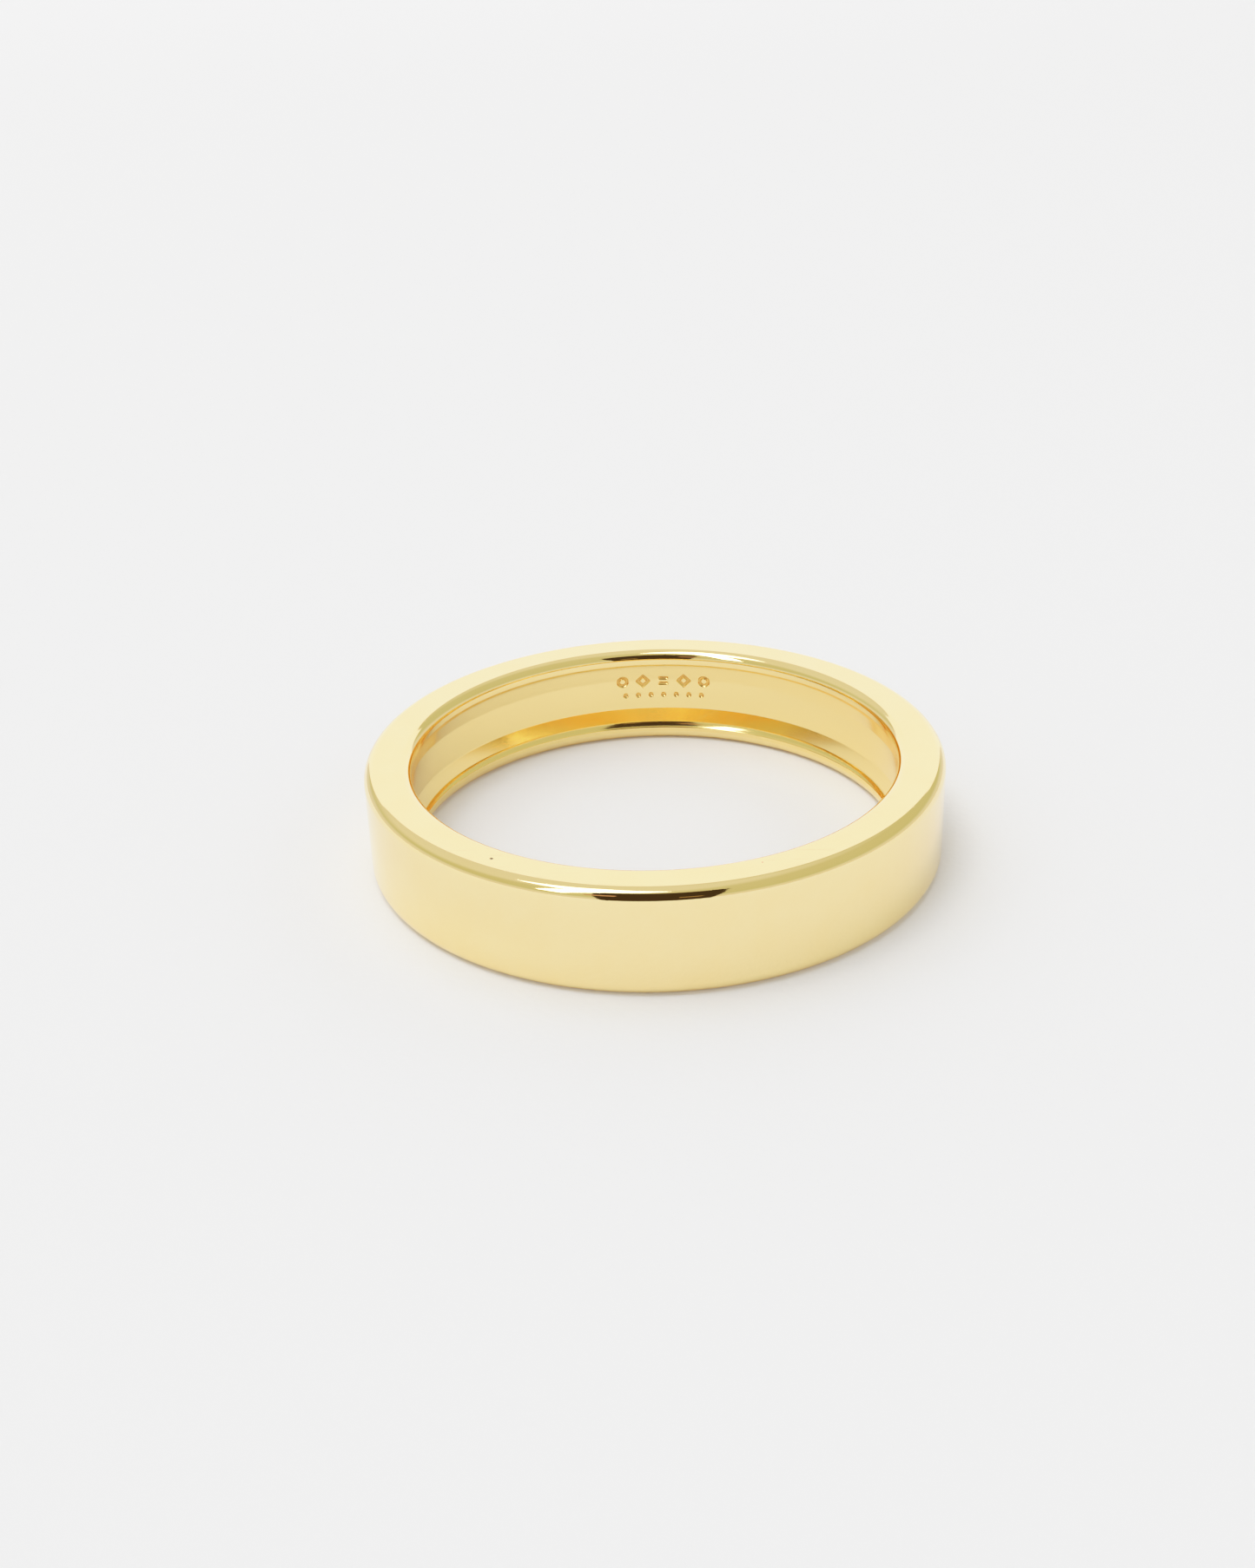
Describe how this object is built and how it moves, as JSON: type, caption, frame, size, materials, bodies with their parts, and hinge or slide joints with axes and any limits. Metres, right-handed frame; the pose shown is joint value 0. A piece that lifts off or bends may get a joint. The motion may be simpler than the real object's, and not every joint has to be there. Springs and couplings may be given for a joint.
{
  "type": "wedding band",
  "caption": "Plain flat-sided gold wedding band with softly rounded edges, a bore hollowed between two straight lips and a small geometric stamp inside.",
  "frame": {"origin": "centre of the finger bore, in the plane of the lower rim on which the band lies", "axes": "+Z along the band's axis, upwards; the stamp inside the bore faces -Y from the +Y side"},
  "size_m": [0.0216, 0.0216, 0.004],
  "materials": {
    "gold": "polished"
  },
  "bodies": {
    "root": {"band": "gold"}
  },
  "joints": []
}
